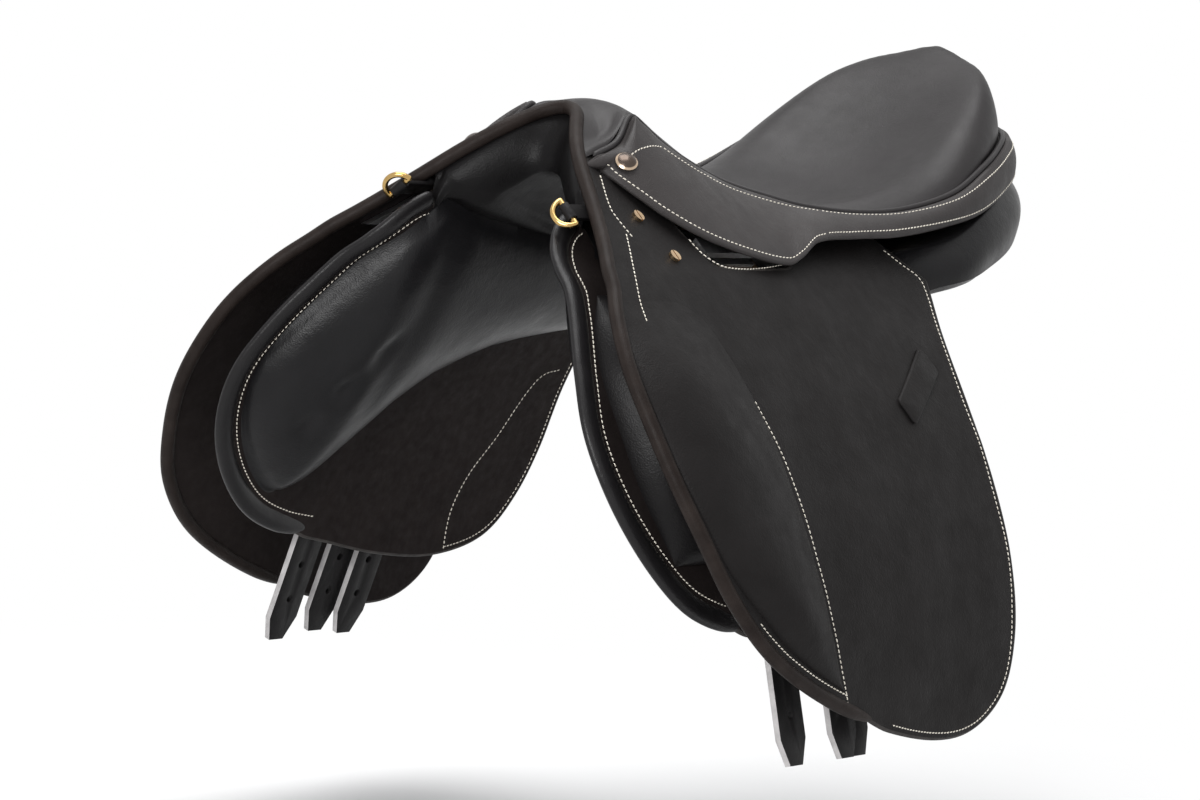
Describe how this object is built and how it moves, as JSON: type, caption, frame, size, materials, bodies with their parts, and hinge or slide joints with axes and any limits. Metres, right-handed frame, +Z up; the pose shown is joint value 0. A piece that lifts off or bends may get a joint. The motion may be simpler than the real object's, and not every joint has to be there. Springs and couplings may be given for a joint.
{
  "type": "jumping saddle",
  "caption": "Forward-cut jumping saddle with lifting flaps and skirts, knee rolls, flocked panels, stirrup bars with turning catches, girth straps and dee rings.",
  "frame": {"origin": "bearing point of a saddle rack on the symmetry plane, in the space between the panels below the seat", "axes": "+Z up, -Y to the front (pommel), +X to the near (left) side of the horse"},
  "size_m": [0.4844, 0.5618, 0.4308],
  "materials": {
    "black_leather": "satin grained",
    "welt_leather": "satin",
    "sweat_leather": "matte",
    "strap_leather": "satin",
    "wood": "matte",
    "steel": "satin",
    "brass": "polished",
    "bronze": "polished",
    "webbing": "woven",
    "foam": "matte"
  },
  "bodies": {
    "saddle": {"tree_head": "wood", "tree_rail_left": "wood", "tree_rail_right": "wood", "tree_cantle": "wood", "head_plate": "steel", "gullet_plate": "steel", "head_rivets": "steel", "seat_web": "webbing", "seat_foam": "foam", "seat_cover": "black_leather", "seat_welt": "welt_leather", "skirt_band": "black_leather", "pommel_welt": "welt_leather", "pommel_nails": "bronze", "flap_screws": "bronze", "head_lining": "black_leather", "channel_lining": "black_leather", "flap_top_left": "black_leather", "flap_top_right": "black_leather", "stirrup_bar_left": "steel", "stirrup_bar_right": "steel", "panel_left": "black_leather", "panel_right": "black_leather", "sweat_flap_left": "sweat_leather", "sweat_flap_right": "sweat_leather", "panel_piping_left": "welt_leather", "panel_piping_right": "welt_leather", "knee_block_left": "black_leather", "knee_block_right": "black_leather", "girth_web_left": "webbing", "girth_web_right": "webbing", "dee_tab_left": "black_leather", "dee_tab_right": "black_leather"},
    "flap_left_lifting": {"flap_left": "black_leather", "flap_welt_left": "welt_leather", "knee_pad_left": "black_leather", "keeper_left": "black_leather"},
    "skirt_left_lifting": {"skirt_left": "black_leather"},
    "billet_left_front_swinging": {"billet_left_front": "strap_leather"},
    "billet_left_middle_swinging": {"billet_left_middle": "strap_leather"},
    "billet_left_rear_swinging": {"billet_left_rear": "strap_leather"},
    "dee_ring_left_turning": {"dee_ring_left": "brass"},
    "bar_catch_left_turning": {"bar_catch_left": "steel"},
    "flap_right_lifting": {"flap_right": "black_leather", "flap_welt_right": "welt_leather", "knee_pad_right": "black_leather", "keeper_right": "black_leather"},
    "skirt_right_lifting": {"skirt_right": "black_leather"},
    "billet_right_front_swinging": {"billet_right_front": "strap_leather"},
    "billet_right_middle_swinging": {"billet_right_middle": "strap_leather"},
    "billet_right_rear_swinging": {"billet_right_rear": "strap_leather"},
    "dee_ring_right_turning": {"dee_ring_right": "brass"},
    "bar_catch_right_turning": {"bar_catch_right": "steel"}
  },
  "joints": [
    {"name": "flap_left_lift", "type": "hinge", "parent": "saddle", "child": "flap_left_lifting", "pos_m": [0.11708, -0.15, 0.09717], "axis": [0, -1, 0], "range_deg": [0, 80]},
    {"name": "skirt_left_lift", "type": "hinge", "parent": "saddle", "child": "skirt_left_lifting", "pos_m": [0.08292, -0.1428, 0.14172], "axis": [-0.1091, -0.9889, 0.1006], "range_deg": [0, 60]},
    {"name": "billet_left_front_swing", "type": "hinge", "parent": "saddle", "child": "billet_left_front_swinging", "pos_m": [0.141, -0.19488, 0.03258], "axis": [0.9565, 0, 0.2917], "range_deg": [-4.5, 4.5]},
    {"name": "billet_left_middle_swing", "type": "hinge", "parent": "saddle", "child": "billet_left_middle_swinging", "pos_m": [0.14712, -0.14995, 0.03445], "axis": [0.9565, 0, 0.2917], "range_deg": [-4.5, 4.5]},
    {"name": "billet_left_rear_swing", "type": "hinge", "parent": "saddle", "child": "billet_left_rear_swinging", "pos_m": [0.141, -0.12784, 0.03258], "axis": [0.9565, 0, 0.2917], "range_deg": [-4.5, 4.5]},
    {"name": "dee_ring_left_turn", "type": "hinge", "parent": "saddle", "child": "dee_ring_left_turning", "pos_m": [0.06559, -0.283, 0.12759], "axis": [0.7459, 0, -0.666], "range_deg": [-70, 20]},
    {"name": "bar_catch_left_turn", "type": "hinge", "parent": "saddle", "child": "bar_catch_left_turning", "pos_m": [0.09377, -0.1175, 0.11181], "axis": [0.666, 0, 0.7459], "range_deg": [0, 90]},
    {"name": "flap_right_lift", "type": "hinge", "parent": "saddle", "child": "flap_right_lifting", "pos_m": [-0.11708, -0.15, 0.09717], "axis": [0, 1, 0], "range_deg": [0, 80]},
    {"name": "skirt_right_lift", "type": "hinge", "parent": "saddle", "child": "skirt_right_lifting", "pos_m": [-0.08292, -0.1428, 0.14172], "axis": [-0.1091, 0.9889, -0.1006], "range_deg": [0, 60]},
    {"name": "billet_right_front_swing", "type": "hinge", "parent": "saddle", "child": "billet_right_front_swinging", "pos_m": [-0.141, -0.19488, 0.03258], "axis": [-0.9565, 0, 0.2917], "range_deg": [-4.5, 4.5]},
    {"name": "billet_right_middle_swing", "type": "hinge", "parent": "saddle", "child": "billet_right_middle_swinging", "pos_m": [-0.14712, -0.14995, 0.03445], "axis": [-0.9565, 0, 0.2917], "range_deg": [-4.5, 4.5]},
    {"name": "billet_right_rear_swing", "type": "hinge", "parent": "saddle", "child": "billet_right_rear_swinging", "pos_m": [-0.141, -0.12784, 0.03258], "axis": [-0.9565, 0, 0.2917], "range_deg": [-4.5, 4.5]},
    {"name": "dee_ring_right_turn", "type": "hinge", "parent": "saddle", "child": "dee_ring_right_turning", "pos_m": [-0.06559, -0.283, 0.12759], "axis": [0.7459, 0, 0.666], "range_deg": [-15, 100]},
    {"name": "bar_catch_right_turn", "type": "hinge", "parent": "saddle", "child": "bar_catch_right_turning", "pos_m": [-0.09377, -0.1175, 0.11181], "axis": [0.666, 0, -0.7459], "range_deg": [0, 90]}
  ]
}
